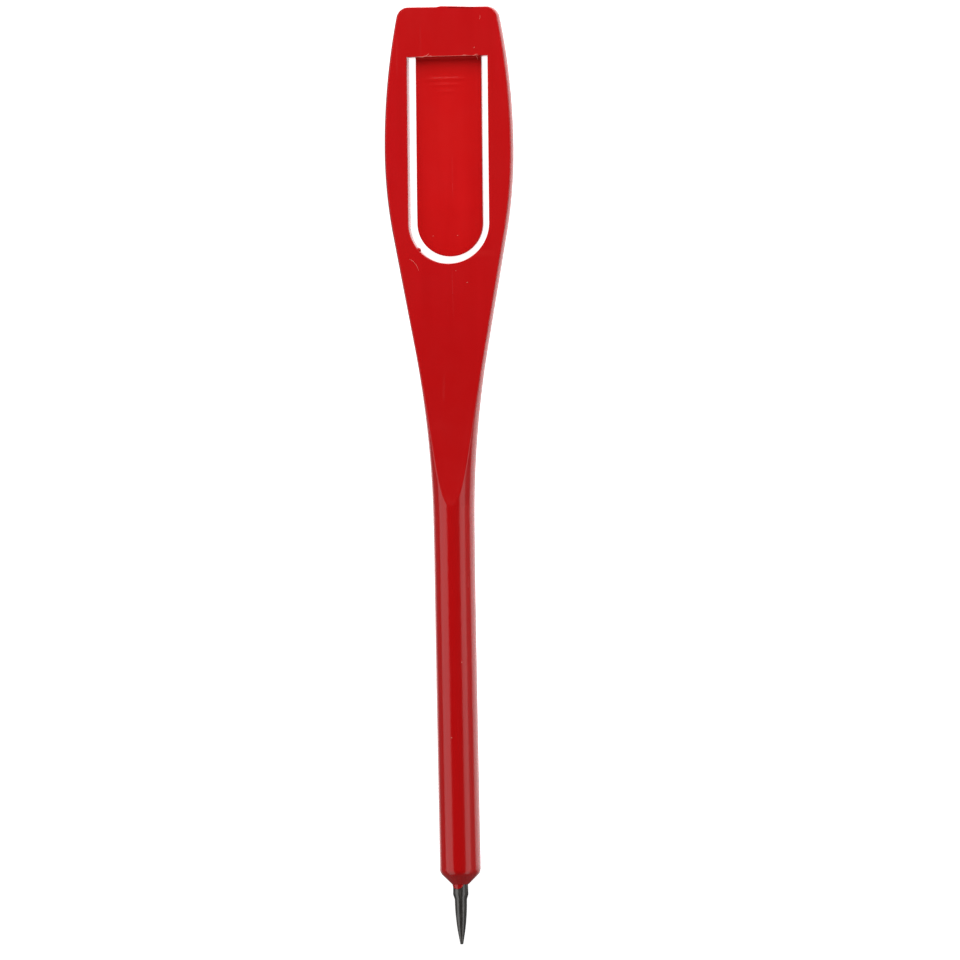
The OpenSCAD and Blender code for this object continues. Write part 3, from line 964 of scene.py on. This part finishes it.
# burrs, nicks and scratches as raised hairs of whitened plastic: (x, y, z, radius)
headNicks = [
    [(-3.15, rootY + 0.03, faceZ, 0.012), (-1.0, rootY + 0.05, faceZ, 0.020),
     (1.2, rootY + 0.04, faceZ, 0.016),
     (3.25, rootY + 0.04, faceZ, 0.012)],
    [(-2.95, rootY + 0.02, faceZ, 0.020), (-2.5, rootY, faceZ, 0.042),
     (-2.1, rootY + 0.10, faceZ, 0.040),
     (-1.85, rootY + 0.32, faceZ, 0.018)],
    [(-1.95, rootY + 0.03, faceZ, 0.018), (-1.7, rootY + 0.10, faceZ, 0.030),
     (-1.5, rootY + 0.04, faceZ, 0.014)],
    [(1.45, rootY + 0.03, faceZ, 0.014), (1.75, rootY + 0.10, faceZ, 0.034),
     (2.0, rootY + 0.05, faceZ, 0.016)],
    [(2.65, rootY - 0.02, faceZ, 0.016), (2.9, rootY + 0.10, faceZ, 0.036),
     (3.15, rootY + 0.16, faceZ, 0.018)],
    [(3.02, rootY - 0.05, faceZ - 0.02, 0.018), (3.1, rootY - 0.24, faceZ - 0.2, 0.022),
     (3.12, rootY - 0.36, faceZ - 0.4, 0.014)],
    [(2.74, rootY + 0.78, faceZ, 0.020), (2.84, rootY + 0.90, faceZ, 0.034)],
    [(3.38, topY - 1.4, faceZ, 0.008), (3.42, topY - 1.0, faceZ, 0.012)],
    [(-4.05, 21.95, faceZ, 0.010), (-3.7, 21.78, faceZ, 0.022), (-3.35, 21.35, faceZ, 0.024),
     (-3.1, 20.8, faceZ, 0.010)],
    [(1.78, 19.5, faceZ, 0.030), (1.90, 19.5, faceZ, 0.026)],
    [(0.66, 20.7, faceZ, 0.022), (0.74, 20.7, faceZ, 0.022)],
    [(0.82, -18.95, barrelTop, 0.030), (0.86, -18.8, barrelTop, 0.024)],
]
flashR, flashY = 4.04, 25.57         # the slot's round end, where a bit of flash is left, mm
slotFlash = [[
    (flashR * math.cos(math.radians(turn)), flashY + flashR * math.sin(math.radians(turn)),
     faceZ - 0.2, radiusAndNoseShade) for turn,
     radiusAndNoseShade in ((217, 0.02), (219, 0.12), (221, 0.17), (223, 0.11), (225, 0.02))]]
tongueNicks = [
    [(x - 0.05, 24.3, tongueFront(x, 24.3, tongueSizes, rootY), 0.026),
     (x + 0.05, 24.33, tongueFront(x, 24.3, tongueSizes, rootY), 0.030)] for x in (-1.75, 0.75)]

whitenedLooks = {
    "mainRed": "#dc5a50", "deepRed": "#cc3a34", "warmRed": "#e07a6c", "noseShadeRed": "#d04c42",
    "edgeHighlightRed": "#ea9a8c", "edgeHighlightShare": 0.5, "dust": 0.2, "gloss": 0.3, "peelDepth": 0.000006,
}
whitenedRed = mouldedRed("stressWhitenedAbsRed", whitenedLooks)
holderMarks = [
    sweepMarks("partingRidge", partingPaths(holderSizes, markSizes["partingRidge"]), holderRed,
               markSizes["sides"]),
    sweepMarks("ejectorRings", ejectorPaths(holderSizes, markSizes), holderRed, markSizes["sides"]),
    sweepMarks("headNicks", headNicks, whitenedRed, markSizes["sides"]),
    sweepMarks("slotFlash", slotFlash, holderRed, markSizes["sides"]),
]
tongueNickPiece = sweepMarks("tongueNicks", tongueNicks, whitenedRed, markSizes["sides"])


noseLip = {
    "around": 28, "along": 6,
    "startTurn": 58.0, "sweep": 125.0,    # degrees round the lead from +X
    "reach": 0.36, "uneven": 0.35,        # how far it crept, mm, and how much that varies
    "rootR": 0.85, "thinning": 0.055, "insideR": 0.755,
    "overlap": 0.08,                      # how far it reaches back into the nose
}


def buildNoseFlash(sizes):
    # a thin lip of plastic that crept out of the mould along the lead's front
    points, faces, rows = [], [], []
    along, overlap = sizes["along"], sizes["overlap"]
    for i in range(sizes["around"] + 1):
        share = i / sizes["around"]
        turn = math.radians(sizes["startTurn"] + sizes["sweep"] * share)
        swell = math.sin(math.pi * share) ** 0.5
        reach = sizes["reach"] * swell * (1 + sizes["uneven"] * math.cos(4 * share - 1.2)) + 0.01
        row = []
        for j in range(along + 1):
            radius = sizes["rootR"] - sizes["thinning"] * (j / along) ** 1.5
            row.append((radius * math.cos(turn), noseY + overlap - (reach + overlap) * j / along,
                        axisZ + radius * math.sin(turn)))
        for j in range(along, -1, -1):
            radius = sizes["insideR"]
            row.append((radius * math.cos(turn), noseY + overlap - (reach + overlap) * j / along,
                        axisZ + radius * math.sin(turn)))
        rows.append(list(range(len(points), len(points) + len(row))))
        points.extend(row)
    for a, b in zip(rows, rows[1:]):
        for i in range(len(a)):
            j = (i + 1) % len(a)
            faces.append((a[i], a[j], b[j], b[i]))
    faces += [tuple(rows[0]), tuple(reversed(rows[-1]))]
    return asMoulded(meshPiece("noseFlash", points, faces, holderRed))


holderMarks.append(buildNoseFlash(noseLip))
print("marks:", len(holderMarks) + 1, "pieces")


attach(holderPiece, "holder")
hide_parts("holder")
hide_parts("clip_tongue")
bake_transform(tonguePiece)
for mark in holderMarks:
    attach(mark, "holder")
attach(tongueNickPiece, "clip")
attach(leadPiece, "holder")
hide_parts("lead")

print("pieces ride on their bodies")
